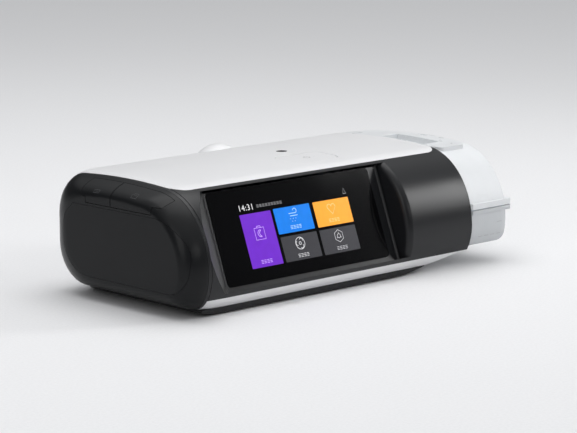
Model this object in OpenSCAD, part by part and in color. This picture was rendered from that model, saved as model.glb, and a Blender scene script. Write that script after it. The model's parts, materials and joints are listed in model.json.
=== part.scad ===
// Bedside breathing-therapy machine with a touch display, a slide-out water tank
// and a swivelling air outlet. Lengths are in millimetres.
// The case frame has X along the length from the closed end to the tank,
// Y from the front nose to the rear face and Z up from the table.

/* [Case] */
// Length of the case, from its closed end to the edge the tank slides into
case_len = 275.4; // [262:0.2:300]
// Depth of the case, from the front nose to the rear face
case_depth = 156.5; // [150:0.5:170]
// Height of the case top at its front and rear edges
case_top = 85; // [82:0.5:92]
// Extra height of the gently crowned top between those edges
crown = 1.5; // [0.5:0.1:2.5]
// Lowest line that the rounded outline would reach without its flat parting plane
case_low = 3; // [2:0.5:4]
// Height of the front nose line
nose_z = 31; // [28:0.5:34]
// How far the lower front curve runs back from the nose
nose_low = 18; // [14:0.5:22]
// How far the upper front curve runs back from the nose
nose_up = 48; // [44:0.5:54]
// Radius of the rear top edge
rear_top_r = 23; // [18:0.5:26]
// Radius of the rear lower edge
rear_low_r = 27; // [20:0.5:28]
// Wall thickness of the case shells
wall = 2.5; // [2:0.1:3]
// Height of the parting plane between the lower shell and the base
part_z = 5.3; // [5:0.1:6.5]
// Height of the parting line between the two white shells at the rear
rear_split_z = 26; // [22:0.5:30]

/* [Closed end] */
// Length over which the closed end is rounded
end_round = 40; // [34:1:48]
// Distance from the end face to the end cap's seam
cap_len = 17; // [14:0.5:20]
// Width of the dark ring between the end cap and the white shells
ring_w = 3.2; // [2.4:0.1:4]
// How far the nose draws in at the end face
end_front = 12; // [8:0.5:14]
// How far the rear draws in at the end face
end_rear = 30; // [20:1:34]
// How far the top draws in at the end face
end_top = 13; // [10:0.5:16]
// How far the bottom draws in at the end face
end_low = 14; // [10:0.5:16]
// Wall thickness of the end cap
cap_wall = 3; // [2.6:0.1:3.4]
// Thickness of the inlaid end panel
inlay_t = 1.5; // [1.2:0.1:1.8]

/* [Front panel and display] */
// Height of the white lip's top edge, where the dark front panel starts
lip_z = 12.5; // [11:0.1:14]
// Distance from the nose back to the white top's front edge
top_edge_y = 33.5; // [31:0.5:36]
// Radius of the white top's two front corners, seen from above
top_corner_r = 12; // [8:0.5:16]
// Tilt of the display face back from upright
tilt = 21; // [18:0.5:23]
// Where the display face starts, back from the nose
face_y = 8; // [7:0.5:10]
// Height at which the display face starts
face_z = 11; // [10:0.5:12]
// Distance from the closed end to the side wall of the display recess
recess_x1 = 208.9; // [206:0.1:211]
// Radius of the fillet at the foot of that side wall
recess_fillet = 3.5; // [2:0.5:5]
// Radius of the rim between that side wall and the round front
rim_r = 5; // [3:0.5:6]
// Distance from the closed end to the foot of the ramp beside the display
ramp_x1 = 42.5; // [41:0.1:43]
// Distance from the closed end to the ramp's outer edge
ramp_x0 = 19; // [17.5:0.5:24]
// How far the ramp rises in front of the display face
ramp_rise = 18.1; // [16:0.1:20]
// Height of the recess's lower edge, measured up the face
recess_v0 = 2.7; // [2:0.1:3.5]
// Height of the recess's upper edge, measured up the face
recess_v1 = 73.4; // [72.8:0.1:74.5]
// Left edge of the display glass from the closed end
glass_x0 = 43.9; // [43.5:0.1:46]
// Length of the display glass
glass_len = 155.2; // [150:0.1:158]
// Lower edge of the glass, measured up the face
glass_v0 = 6.5; // [5.5:0.1:8]
// Height of the glass, measured up the face
glass_h = 65.6; // [62:0.1:66]
// Thickness of the glass
glass_t = 1.3; // [1:0.1:1.4]
// How far the glass stands proud of the face
glass_proud = 0.3; // [0.1:0.1:0.5]
// Corner radius of the glass
glass_r = 3; // [2:0.5:5]
// Width of the ledge that carries the glass
glass_ledge = 4.5; // [3.5:0.5:6]
// Thickness of the display module
module_t = 5; // [4:0.5:6]
// Thickness of a circuit board
board_t = 1.6; // [1.2:0.1:2]

/* [Base and feet] */
// Height of the rubber feet below the base
foot_h = 1; // [0.8:0.1:1.5]
// Radius of a foot
foot_r = 6.5; // [5:0.5:8]
// How deep a foot sits in the base
foot_sink = 1.2; // [0.8:0.1:1.6]
// Floor thickness of the base tray
base_floor = 2; // [1.6:0.1:2.4]
// Where the underside starts to rise towards the tank
base_rise_x = 203; // [196:1:206]
// Radius with which the underside starts to rise
base_rise_r = 150; // [140:1:170]
// Slope of the rising underside after that, in degrees
base_slope = 13.5; // [12:0.1:13.8]
// Radius of the underside's rise towards the closed end
base_heel_r = 115; // [100:1:140]
// Radius of a case screw's shank
screw_r = 1.5; // [1.25:0.05:1.6]

/* [Water tank] */
// How far the tank stands out of the case
tank_out = 38.6; // [34:0.2:42]
// How far the opening lip stands out of the tank's end
lip_out = 5.5; // [4:0.5:7]
// Height of the tank's underside
tank_z = 15.5; // [15.2:0.1:16.5]
// Height of the joint between the tank's tub and lid
tank_split_z = 41.6; // [40:0.1:46]
// Wall thickness of the tank
tank_wall = 2; // [1.6:0.1:2.4]
// Thickness of the gasket between tub and lid
gasket_t = 0.8; // [0.6:0.1:1.2]
// Radius of the tank's lower edge at its end
tank_end_r = 8; // [6:0.5:10]
// Thickness of the tub's half of the opening lip
lip_t = 3; // [2:0.1:4]
// Thickness of the lid's half of the opening lip
lid_lip_t = 4.2; // [3:0.1:5]
// Clearance between the tank and the bay walls
bay_gap = 1; // [0.8:0.1:1.4]
// Clearance under the tank
slide_gap = 0.3; // [0.2:0.05:0.5]
// Thickness of the metal plate in the tank's floor
tank_plate_t = 1; // [0.8:0.1:1.2]
// Radius of the tank's two air ports
port_r = 10; // [8:0.1:10.5]
// Front edge of the flat pad on the lid, from the nose
pad_y0 = 32; // [30:0.5:36]
// Depth of the finger recess in the lid
scoop_depth = 6; // [5.5:0.5:7]

/* [Air path] */
// Distance from the closed end to the outlet's axis
outlet_x = 182; // [176:1:186]
// Height of the outlet's axis
outlet_z = 63; // [61:0.5:64]
// Radius of the elbow's dome
dome_r = 19.5; // [18:0.5:21]
// Radius of the elbow's collar
collar_r = 14.2; // [13:0.1:15]
// Outer radius of the hose port
spigot_r = 11; // [11:0.5:11.5]
// Length of the hose port
spigot_len = 17; // [15:1:22]
// Length of the collar from the elbow's axis
collar_len = 41; // [36:1:46]
// Bore radius of the air path
airway_r = 8.5; // [7:0.5:9]
// Radius of the elbow's neck
neck_r = 10.5; // [10:0.1:11]
// Running clearance of the elbow's neck and of the shafts
run_gap = 0.05; // [0.03:0.01:0.08]
// Wall thickness of the ducts
duct_wall = 2; // [1.6:0.1:2.4]
// Left edge of the filter cover from the closed end
filter_x = 49; // [47:1:56]
// Length of the filter cover
filter_len = 52; // [46:1:60]
// Lower edge of the filter cover
filter_z = 33; // [32:0.5:36]
// Height of the filter cover
filter_h = 28; // [24:0.5:28]

/* [Blower] */
// Blower axis from the closed end
blower_x = 100; // [96:1:104]
// Blower axis from the nose
blower_y = 86; // [84:1:90]
// Outer radius of the blower
blower_r = 38; // [34:1:40]
// Height of the blower's lower housing
blower_h = 19; // [17:1:22]
// Radius of the impeller
impeller_r = 32; // [28:1:33]
// Number of impeller blades
blade_count = 9; // [6:1:12]
// Radius of the motor shaft
shaft_r = 2; // [1.5:0.1:2.5]

/* [Button and doors] */
// Centre of the start button from the closed end
button_x = 169; // [165:1:172]
// Centre of the start button from the nose
button_y = 64; // [62:1:68]
// Length of the start button
button_len = 44; // [36:1:46]
// Width of the start button
button_w = 27; // [22:1:28]
// Corner radius of the start button
button_r = 8; // [5:1:10]
// Travel of the start button
button_travel = 1.2; // [0.8:0.1:1.6]
// Radius of the light sensor's lens
lens_r = 4; // [3:0.5:5]
// Front end of the card door, from the nose
card_door_y0 = 28.4; // [27:0.2:31]
// Line between the card door and the port door, from the nose
door_split_y = 79.7; // [76:0.1:84]
// Radius of the card door's front lower corner
card_corner_r = 10; // [9:0.5:18]
// Radius of the port door's rear lower corner
port_corner_r = 6; // [5:0.5:8]
// Rear end of the port door, from the nose
port_door_y1 = 112; // [106:0.5:113]
// Height of the doors' hinge pin
hinge_z = 70.7; // [69.5:0.1:71]
// Distance of the hinge pin from the end face
hinge_x = 2.2; // [2.1:0.05:2.4]
// Radius of the doors' hinge knuckles
knuckle_r = 2; // [1.8:0.05:2.1]
// Radius of the doors' hinge pin
pin_r = 1; // [0.8:0.05:1.1]
// How far the doors reach over the top, from the end face
door_reach = 13; // [11:0.5:14]
// Thickness of the doors
door_t = 2; // [1.6:0.1:2.2]

/* [Hidden] */

$fn = 64;
// Face contact is face to face; fit is the clearance between fixed pieces
fit = 0.3;
eps = 0.01;
far = 400;
overall_len = case_len + tank_out + lip_out;
elbow_y = case_depth + collar_r + 1.3;
overall_depth = elbow_y + dome_r;
white_x = cap_len + ring_w;
tank_x0 = recess_x1 + 7.8;
tank_x1 = case_len + tank_out;
heel_x = white_x + 22;
bulkhead_t = 3;
bulkhead_x = recess_x1 + wall + 0.6;
bay_floor_z = tank_z - slide_gap;
floor_z = part_z + wall;
chassis_t = 2.3;
deck_z = floor_z + chassis_t;
board_z = deck_z + 51;
inner_rear = case_depth - wall;
// The front panel's edge tucks under the white top below this height
tuck_z = case_top - 6.8;
outlet_port_y = case_depth - 44.5;
blower_port_y = 62;
blower_port_z = 60;
base_y = nose_low - nose_low * sqrt(1 - pow((nose_z - part_z) / (nose_z - case_low), 2));
base_rear = case_depth - rear_low_r
    + rear_low_r * sqrt(1 - pow((case_low + rear_low_r - part_z) / rear_low_r, 2));
// The base ends where the rising underside leaves it half a millimetre thick
slope_x = base_rise_x + base_rise_r * sin(base_slope);
slope_z = foot_h + base_rise_r * (1 - cos(base_slope));
base_x1 = slope_x + (part_z - 0.5 - slope_z) / tan(base_slope);
// The doors' lower edges swing on this radius, and their hinge knuckles end here
door_nose_r = norm([hinge_x, knuckle_r]);
card_knuckle_y0 = card_door_y0 + card_corner_r;
card_knuckle_y1 = door_split_y - fit;
port_knuckle_y0 = door_split_y + fit + 0.5;
port_knuckle_y1 = port_door_y1 - port_corner_r;
ramp_angle = atan(ramp_rise / (ramp_x1 - ramp_x0));
// Posts that carry the main board, and the board's ends
post_x0 = white_x + 33.8;
post_x1 = bulkhead_x - 72;
post_y1 = case_depth - 34.5;
post_sites = [[post_x0, 48], [post_x0, post_y1], [post_x1, 46], [post_x1, post_y1]];
foot_x0 = white_x + 29.8;
foot_x1 = bulkhead_x - 40;
foot_y1 = case_depth - 50.5;
foot_sites = [[foot_x0, 32], [foot_x0, foot_y1], [foot_x1, 32], [foot_x1, foot_y1]];
// Upright part of the blower duct
duct_x = blower_x + 60;
duct_top = deck_z + 24;
// The silencer hangs from the rear wall
silencer_y0 = case_depth - 26.5;
silencer_x1 = filter_x + filter_len;
// The heater plate and the tank's floor plate lie over each other
heat_x0 = tank_x0 + 5.3;
heat_x1 = heat_x0 + 36;
heat_y0 = 40;
heat_y1 = case_depth - 41.5;

WHITE = "whitesmoke";
CHARCOAL = "dimgray";
SMOKE = "darkslategray";
CLEAR = "lightcyan";

// Part frame: the origin is under the middle of the whole machine
module placed() translate([-overall_len / 2, -overall_depth / 2, 0]) children();

// A drawing in Y and Z, drawn along X from x0 over a length
module along_x(x0, len) translate([x0, 0, 0]) rotate([90, 0, 90]) linear_extrude(len) children();

// A drawing in X and Z, drawn along Y from y0 over a length
module along_y(y0, len)
    translate([0, y0 + len, 0]) rotate([90, 0, 0]) linear_extrude(len) children();

module along_z(z0, len) translate([0, 0, z0]) linear_extrude(len) children();

module block(x0, x1, y0, y1, z0, z1) translate([x0, y0, z0]) cube([x1 - x0, y1 - y0, z1 - z0]);

module rod_x(x0, x1, y, z, r) translate([x0, y, z]) rotate([0, 90, 0]) cylinder(h = x1 - x0, r = r);

module rod_y(y0, y1, x, z, r) translate([x, y0, z]) rotate([-90, 0, 0]) cylinder(h = y1 - y0, r = r);

module rod_z(z0, z1, x, y, r) translate([x, y, z0]) cylinder(h = z1 - z0, r = r);

// A rectangle with round corners, as one outline of arcs
module rounded(x0, x1, y0, y1, r)
    polygon(concat(
        arc(x1 - r, y1 - r, r, r, 0, 90, 8), arc(x0 + r, y1 - r, r, r, 90, 180, 8),
        arc(x0 + r, y0 + r, r, r, 180, 270, 8), arc(x1 - r, y0 + r, r, r, 270, 360, 8)));

// Points of an elliptic arc
function arc(cx, cy, rx, ry, a0, a1, n) =
    [for (i = [0:n]) let(a = a0 + (a1 - a0) * i / n) [cx + rx * cos(a), cy + ry * sin(a)]];

// Quarter-ellipse draw-in: 1 at the end face and 0 at distance run from it
function draw_in(x, run) = let(t = max(0, 1 - x / run)) 1 - sqrt(1 - t * t);

// The case's D outline in Y and Z, drawn in by `off` all round and by front, rear, top and low
// on those sides alone
function d_outline(off, front = 0, rear = 0, top = 0, low = 0) =
    let(low_r = nose_low - front / 2, up_r = nose_up - front / 2,
        z_top = case_top - top, z_low = case_low + low, y_rear = case_depth - rear,
        y_a = front + up_r, y_b = y_rear - rear_top_r)
    concat(
        arc(front + low_r, nose_z, low_r - off, nose_z - z_low - off, 270, 180, 9),
        [for (i = [1:14]) let(a = 180 - 90 * i / 14)
            [y_a + (up_r - off) * cos(a), nose_z + (z_top - nose_z - off) * sin(a)]],
        [for (i = [1:7]) let(u = i / 8)
            [y_a + (y_b - y_a) * u, z_top - off + 4 * crown * u * (1 - u)]],
        arc(y_b, z_top - rear_top_r, rear_top_r - off, rear_top_r - off, 90, 0, 8),
        arc(y_rear - rear_low_r, z_low + rear_low_r, rear_low_r - off, rear_low_r - off, 0, -90, 8));

// A closed solid through outlines with equally many points, each at its own x
module skin(xs, outlines) {
    count = len(outlines[0]);
    last = len(xs) - 1;
    polyhedron(
        points = [for (i = [0:last]) for (p = outlines[i]) [xs[i], p[0], p[1]]],
        faces = concat(
            [[for (j = [0:count - 1]) count - 1 - j]],
            [for (i = [0:last - 1]) for (j = [0:count - 1])
                [i * count + j, i * count + (j + 1) % count, (i + 1) * count + (j + 1) % count]],
            [for (i = [0:last - 1]) for (j = [0:count - 1])
                [i * count + j, (i + 1) * count + (j + 1) % count, (i + 1) * count + j]],
            [[for (j = [0:count - 1]) last * count + j]]));
}

// Outline of the closed end at distance x from the end face
function end_outline(x, off) =
    d_outline(off, end_front * draw_in(x, cap_len), end_rear * draw_in(x, end_round),
        end_top * draw_in(x, end_round - 6), end_low * draw_in(x, end_round));

// The case's solid form drawn in by off, between x0 and x1
module case_form(off, x0, x1) {
    steps = [for (i = [0:11]) end_round * (1 - cos(90 * i / 11))];
    if (x0 < end_round) intersection() {
        skin(concat([for (x = steps) off + x * (end_round - off) / end_round], [case_len + 10]),
            concat([for (x = steps) end_outline(x, off)], [d_outline(off)]));
        block(x0, x1, -far, far, -far, far);
    }
    else along_x(x0, x1 - x0) polygon(d_outline(off));
}

// Everything above the underside, which rises towards the tank
module above_underside()
    along_y(-far, 2 * far) polygon(concat(
        [[far, far], [-far, far], [-far, foot_h]],
        [for (i = [0:8]) let(a = base_slope * i / 8)
            [base_rise_x + base_rise_r * sin(a), foot_h + base_rise_r * (1 - cos(a))]],
        [[slope_x + far, slope_z + far * tan(base_slope)]]));

// The white top's outline from above
module top_plan()
    polygon(concat(
        [[white_x, far]],
        arc(white_x + top_corner_r, top_edge_y + top_corner_r, top_corner_r, top_corner_r,
            180, 270, 16),
        arc(case_len - top_corner_r, top_edge_y + top_corner_r, top_corner_r, top_corner_r,
            270, 360, 16),
        [[case_len, far]]));

// Frame of the display face: X along it, Y into the machine and Z up the face
module on_face() translate([0, face_y, face_z]) rotate([-tilt, 0, 0]) children();

// The display recess and its ramp, with all its walls moved outwards by off
module recess(off)
    on_face() along_z(recess_v0 - off, recess_v1 - recess_v0 + 2 * off)
        polygon(concat(
            arc(recess_x1 - recess_fillet, -recess_fillet, recess_fillet + off,
                recess_fillet + off, 0, 90, 6),
            [[ramp_x1 + off * (1 / cos(ramp_angle) - 1) / tan(ramp_angle), off],
                [ramp_x0 - 30, off / cos(ramp_angle) - ramp_rise - 30 * tan(ramp_angle)],
                [recess_x1 + off, -ramp_rise - 30 * tan(ramp_angle)]]));

// Everything outside the rounded rim beside the display recess
module rim_cut()
    difference() {
        on_face() block(recess_x1 - 1, recess_x1 + rim_r, -40, 0, recess_v0, recess_v1);
        skin([for (i = [0:7]) recess_x1 + (i < 7 ? rim_r * (1 - cos(15 * i)) : rim_r + 2)],
            [for (i = [0:7]) d_outline(i < 6 ? rim_r * (1 - sin(15 * i)) : -0.05)]);
    }

// The start button's outline from above
module button_plan(grow)
    rounded(button_x - button_len / 2 - grow, button_x + button_len / 2 + grow,
        button_y - button_w / 2 - grow, button_y + button_w / 2 + grow, button_r + grow);

// Outlines of the two doors' upper parts in Y and Z
module card_door_plan(grow)
    polygon(concat(
        [[card_knuckle_y1 + grow, far], [card_knuckle_y1 + grow, hinge_z - grow]],
        arc(card_knuckle_y0, hinge_z + card_corner_r, card_corner_r + grow,
            card_corner_r + grow, 270, 180, 10),
        [[card_door_y0 - grow, far]]));

module port_door_plan(grow)
    polygon(concat(
        [[port_knuckle_y0 - grow, far], [port_knuckle_y0 - grow, hinge_z - grow]],
        arc(port_knuckle_y1, hinge_z + port_corner_r, port_corner_r + grow,
            port_corner_r + grow, 270, 360, 6),
        [[port_door_y1 + grow, far]]));

// Outline of the inlaid end panel in Y and Z
module end_panel_plan(grow)
    polygon(concat(
        arc(22, 34, 17.5 + grow, 16.5 + grow, 270, 180, 8),
        arc(48, 40, 43.5 + grow, 28.6 + grow, 180, 112, 8),
        [[120, hinge_z - door_nose_r - 1.2 + grow]],
        arc(112, 47, 20 + grow, 20 + grow, 60, 0, 5),
        arc(104, 42, 28 + grow, 24.5 + grow, 0, -90, 8)));

module upper_shell() color(WHITE) placed() {
    difference() {
        intersection() {
            union() {
                difference() {
                    case_form(0, white_x, case_len);
                    case_form(wall, white_x - 1, case_len + 1);
                }
                rod_y(inner_rear - 2.5, case_depth + 0.6, outlet_x, outlet_z, 18);
            }
            along_z(rear_split_z, far) top_plan();
        }
        along_z(0, far) button_plan(fit + 0.1);
        rod_z(0, far, button_x + 4, button_y + 30, lens_r + 0.2);
        rod_y(0, far, outlet_x, outlet_z, 14.25);
        block(filter_x + 2, filter_x + filter_len - 2, case_depth - 10, far,
            filter_z + 2, filter_z + filter_h - 2);
        rod_y(case_depth - 10, far, 130, 38, 5.8);
    }
}

module lower_shell() color(WHITE) placed()
    difference() {
        intersection() {
            case_form(0, white_x, case_len);
            block(-far, far, -far, far, part_z, far);
            above_underside();
        }
        intersection() {
            case_form(wall, white_x - 1, case_len + 1);
            union() {
                block(-far, bulkhead_x, -far, far, floor_z, far);
                block(bulkhead_x - 1, far, -far, far, bay_floor_z, far);
            }
        }
        difference() {
            block(-far, far, -far, top_edge_y + 20, lip_z, far);
            case_form(wall + 0.5, bulkhead_x, case_len + 1);
        }
        block(-far, far, top_edge_y + 10, far, rear_split_z, far);
        block(heat_x0, heat_x1, heat_y0, heat_y1, bay_floor_z - 2, far);
        for (p = post_sites) rod_z(0, 20, p[0], p[1], screw_r + 0.2);
    }

module base_plate() color(CHARCOAL) placed() {
    difference() {
        intersection() {
            along_z(foot_h, part_z - foot_h) polygon(concat(
                [[white_x, base_y], [base_x1, base_y]],
                arc(base_x1 - 30, base_rear - 30, 30, 30, 0, 90, 8),
                arc(white_x + 20, base_rear - 20, 20, 20, 90, 180, 8)));
            above_underside();
            union() {
                block(heel_x, far, -far, far, 0, far);
                rod_y(-far, far, heel_x, foot_h + base_heel_r, base_heel_r, $fn = 360);
            }
        }
        along_z(foot_h + base_floor, far)
            rounded(white_x + 14, base_rise_x, base_y + 8, base_rear - 8, 8);
        for (p = foot_sites) rod_z(0, foot_h + foot_sink, p[0], p[1], foot_r + 0.2);
        for (p = post_sites) {
            rod_z(0, 20, p[0], p[1], screw_r + 0.2);
            rod_z(0, foot_h + 1.8, p[0], p[1], 2 * screw_r + 0.2);
        }
    }
}

module front_panel() color(CHARCOAL) placed()
    difference() {
        intersection() {
            case_form(0, white_x, case_len);
            block(-far, far, -far, top_edge_y + 14, lip_z, far);
        }
        recess(0);
        rim_cut();
        difference() {
            case_form(wall, white_x - 1, case_len + 1);
            recess(wall);
        }
        along_z(tuck_z, far) {
            top_plan();
            translate([0, top_edge_y + top_corner_r - 4]) square([white_x + 3, far]);
            translate([case_len - 3, top_edge_y + top_corner_r - 4]) square([far, far]);
        }
        on_face() {
            along_y(-5, 5 + glass_t - glass_proud)
                rounded(glass_x0 - 0.25, glass_x0 + glass_len + 0.25,
                    glass_v0 - 0.25, glass_v0 + glass_h + 0.25, glass_r + 0.25);
            along_y(-5, 20)
                rounded(glass_x0 + glass_ledge, glass_x0 + glass_len - glass_ledge,
                    glass_v0 + glass_ledge, glass_v0 + glass_h - glass_ledge, glass_r);
        }
    }

// The spigot that centres the end cap starts inside the ring's own wall
module end_ring() color(CHARCOAL) placed()
    difference() {
        union() {
            case_form(0, cap_len, white_x - 0.2);
            case_form(cap_wall + 0.2, cap_len - 3, cap_len + 1);
        }
        case_form(cap_wall + 1.8, cap_len - 5, white_x + 8);
    }

// Room for the doors in the end cap; beside the knuckles the cap closes round the hinge pin
module door_cut(grow) {
    difference() {
        intersection() {
            block(-1, door_reach + grow, 0, far, hinge_z, far);
            along_x(-1, 30) {
                card_door_plan(grow);
                port_door_plan(grow);
            }
        }
        rod_y(0, card_knuckle_y0 - grow, hinge_x, hinge_z, door_nose_r - grow);
        rod_y(port_knuckle_y1 + grow, far, hinge_x, hinge_z, door_nose_r - grow);
    }
    rod_y(card_knuckle_y0 - grow, card_knuckle_y1 + grow, hinge_x, hinge_z, door_nose_r + fit);
    rod_y(port_knuckle_y0 - grow, port_knuckle_y1 + grow, hinge_x, hinge_z, door_nose_r + fit);
}

module end_cap() color(SMOKE) placed() {
    difference() {
        union() {
            difference() {
                case_form(0, 0, cap_len - 0.2);
                case_form(cap_wall, 0, cap_len + 1);
            }
            intersection() {
                case_form(0.8, 0, cap_len);
                union() {
                    rod_y(card_knuckle_y0 - 4.4, card_knuckle_y0 - 0.4, hinge_x + 0.3, hinge_z, 2.6);
                    block(0, cap_wall + 3, door_split_y - 0.1, door_split_y + 0.6,
                        hinge_z - 4, hinge_z + 2);
                    rod_y(port_knuckle_y1 + 0.4, port_knuckle_y1 + 5, hinge_x + 0.3, hinge_z, 2.6);
                }
            }
        }
        difference() {
            along_x(-1, 12) end_panel_plan(0.2);
            case_form(inlay_t, 0, 14);
        }
        door_cut(0.35);
        rod_y(card_knuckle_y0 - 3.1, port_knuckle_y1 + 4, hinge_x, hinge_z, pin_r + 0.02);
    }
}

module end_panel() color(SMOKE) placed()
    intersection() {
        difference() {
            case_form(0, 0, 12);
            case_form(inlay_t, 0, 14);
        }
        along_x(-1, 12) end_panel_plan(0);
    }

// A door skin follows the rounded end and carries one long knuckle behind its lower edge
module door(y0, y1) color(SMOKE) placed()
    difference() {
        union() {
            intersection() {
                difference() {
                    case_form(0, 0, door_reach);
                    case_form(door_t, 0, door_reach + 1);
                }
                along_x(-1, door_reach + 1) children();
            }
            rod_y(y0, y1, hinge_x, hinge_z, knuckle_r);
            intersection() {
                case_form(0, 0, door_reach);
                block(-1, hinge_x, y0, y1, hinge_z - knuckle_r, hinge_z + 1);
            }
        }
        rod_y(y0 - 1, y1 + 1, hinge_x, hinge_z, pin_r + run_gap);
        rod_y(0, y0, hinge_x, hinge_z, door_nose_r);
        rod_y(y1, far, hinge_x, hinge_z, door_nose_r);
    }

module card_door() door(card_knuckle_y0, card_knuckle_y1) card_door_plan(0);

module port_door() door(port_knuckle_y0, port_knuckle_y1) port_door_plan(0);

module hinge_pin() color("silver") placed()
    rod_y(card_knuckle_y0 - 3, port_knuckle_y1 + 3.9, hinge_x, hinge_z, pin_r);

module port_tray() color(CHARCOAL) placed() {
    difference() {
        case_form(cap_wall + 0.1, 9, 11);
        block(0, far, -far, far, 0, 62);
        block(0, far, 48, 74.5, 72.6, 75.6);
        block(0, far, 88, 100, 70.5, 75.5);
    }
}

module card_slot() color("silver") placed()
    difference() {
        block(11, 36, 46.5, 76, 71.5, 76.4);
        block(10, 34.8, 48, 74.5, 72.6, 75.6);
    }

module memory_card() color("midnightblue") placed() block(8.2, 34.5, 49.2, 73.2, 72.9, 75);

module port_socket() color("silver") placed()
    difference() {
        block(11, 23, 86.5, 101.5, 69, 77);
        block(10, 22, 88, 100, 70.5, 75.5);
    }

module display_glass() color("black") placed() on_face()
    along_y(-glass_proud, glass_t)
        rounded(glass_x0, glass_x0 + glass_len, glass_v0, glass_v0 + glass_h, glass_r);

module display_module() color("slategray") placed() on_face()
    along_y(glass_t - glass_proud, module_t)
        rounded(glass_x0 + glass_ledge + 0.4, glass_x0 + glass_len - glass_ledge - 0.4,
            glass_v0 + glass_ledge + 0.4, glass_v0 + glass_h - glass_ledge - 0.4, glass_r);

module display_board() color("darkgreen") placed() on_face() {
    along_y(glass_t - glass_proud + module_t, board_t)
        rounded(glass_x0 + 16, glass_x0 + glass_len - 16, glass_v0 + 9, glass_v0 + glass_h - 10, 2);
    along_y(glass_t - glass_proud + module_t + board_t, 1.2)
        for (x = [glass_x0 + 30, glass_x0 + 70, glass_x0 + 110])
            rounded(x, x + 18, glass_v0 + 22, glass_v0 + 38, 1);
}

module start_button() color(WHITE) placed() {
    intersection() {
        along_z(case_top - 3.2, 20) button_plan(0);
        case_form(0.15, 100, 220);
    }
    along_z(case_top - 4, 1.2) button_plan(1.5);
}

module button_tray() color("gray") placed()
    difference() {
        intersection() {
            along_z(case_top - 11, 30) button_plan(3.6);
            case_form(wall, 100, 220);
        }
        along_z(case_top - 9.5, 30) button_plan(2);
    }

module button_board() color("darkgreen") placed()
    block(button_x - 15, button_x + 15, button_y - 8, button_y + 8,
        case_top - 9.5, case_top - 9.5 + board_t);

module button_dome() color("gainsboro") placed()
    rod_z(case_top - 9.5 + board_t, case_top - 4.3, button_x, button_y, 6);

module sensor_lens() color("black") placed() {
    intersection() {
        rod_z(case_top - 3, far, button_x + 4, button_y + 30, lens_r);
        case_form(0.1, 100, 220);
    }
    rod_z(case_top - 3, case_top - 1.8, button_x + 4, button_y + 30, lens_r + 1.5);
}

module chassis() color("silver") placed()
    difference() {
        union() {
            along_z(floor_z, chassis_t)
                rounded(post_x0 - 14, bulkhead_x - 0.4, 14, case_depth - 18.5, 5);
            for (p = post_sites) rod_z(floor_z, board_z, p[0], p[1], 4);
        }
        for (p = post_sites) {
            rod_z(0, floor_z + 8, p[0], p[1], screw_r);
            rod_z(board_z - 8, board_z + 1, p[0], p[1], 1.2);
        }
    }

module bulkhead() color("gray") placed()
    difference() {
        along_x(bulkhead_x, bulkhead_t) difference() {
            polygon(d_outline(wall + fit));
            translate([-far, -far]) square([2 * far, far + bay_floor_z]);
        }
        rod_x(0, far, blower_port_y, blower_port_z, airway_r + 1);
        rod_x(0, far, outlet_port_y, outlet_z, airway_r + 1);
    }

module port_seals() color("lightsteelblue") placed()
    for (p = [[blower_port_y, blower_port_z], [outlet_port_y, outlet_z]])
        difference() {
            rod_x(bulkhead_x + bulkhead_t, tank_x0 - 0.3, p[0], p[1], port_r + 4);
            rod_x(0, far, p[0], p[1], port_r + 0.5);
        }

module blower_base() color("ivory") placed()
    difference() {
        union() {
            rod_z(deck_z, deck_z + blower_h, blower_x, blower_y, blower_r);
            block(blower_x, duct_x - 11, blower_port_y - 11, blower_port_y + 11,
                deck_z, deck_z + blower_h);
        }
        rod_z(deck_z + 2, far, blower_x, blower_y, blower_r - 2.5);
        block(blower_x + 10, duct_x - 10, blower_port_y - 9, blower_port_y + 9,
            deck_z + 2, deck_z + blower_h - 2);
    }

module blower_cover() color("ivory") placed()
    difference() {
        union() {
            rod_z(deck_z + blower_h, deck_z + blower_h + 2.5, blower_x, blower_y, blower_r);
            rod_z(deck_z + blower_h, deck_z + blower_h + 10, blower_x, blower_y, 16);
        }
        rod_z(0, far, blower_x, blower_y, 13);
    }

module motor_stator() color("peru") placed()
    difference() {
        rod_z(deck_z + 2, deck_z + 9, blower_x, blower_y, 15);
        rod_z(0, far, blower_x, blower_y, 5);
    }

module motor_bearing() color("silver") placed()
    difference() {
        rod_z(deck_z + 2, deck_z + 8, blower_x, blower_y, 5);
        rod_z(0, far, blower_x, blower_y, shaft_r + run_gap);
    }

module motor_shaft() color("silver") placed()
    rod_z(deck_z + 2.3, deck_z + blower_h - 2, blower_x, blower_y, shaft_r);

module impeller() color("white") placed()
    difference() {
        union() {
            rod_z(deck_z + 9.5, deck_z + 11, blower_x, blower_y, impeller_r);
            rod_z(deck_z + 9.5, deck_z + 16, blower_x, blower_y, 6);
            translate([blower_x, blower_y, 0]) for (i = [0:blade_count - 1])
                rotate([0, 0, 360 * i / blade_count]) translate([5, 0, 0])
                    rotate([0, 0, -32]) block(0, impeller_r - 9, -0.6, 0.6, deck_z + 10, deck_z + 17);
        }
        rod_z(0, far, blower_x, blower_y, shaft_r);
    }

module blower_duct() color("lightgray") placed()
    difference() {
        union() {
            block(duct_x - 11, duct_x + 11, blower_port_y - 11, blower_port_y + 11,
                deck_z, duct_top);
            rod_z(duct_top - 1, blower_port_z, duct_x, blower_port_y, airway_r + duct_wall);
            rod_x(duct_x, bulkhead_x, blower_port_y, blower_port_z, airway_r + duct_wall);
            translate([duct_x, blower_port_y, blower_port_z]) sphere(r = airway_r + duct_wall);
        }
        block(duct_x - 20, duct_x + 9, blower_port_y - 9, blower_port_y + 9,
            deck_z + 2, deck_z + blower_h - 2);
        rod_z(deck_z + 2, blower_port_z, duct_x, blower_port_y, airway_r);
        rod_x(duct_x, far, blower_port_y, blower_port_z, airway_r);
        translate([duct_x, blower_port_y, blower_port_z]) sphere(r = airway_r);
    }

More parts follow.
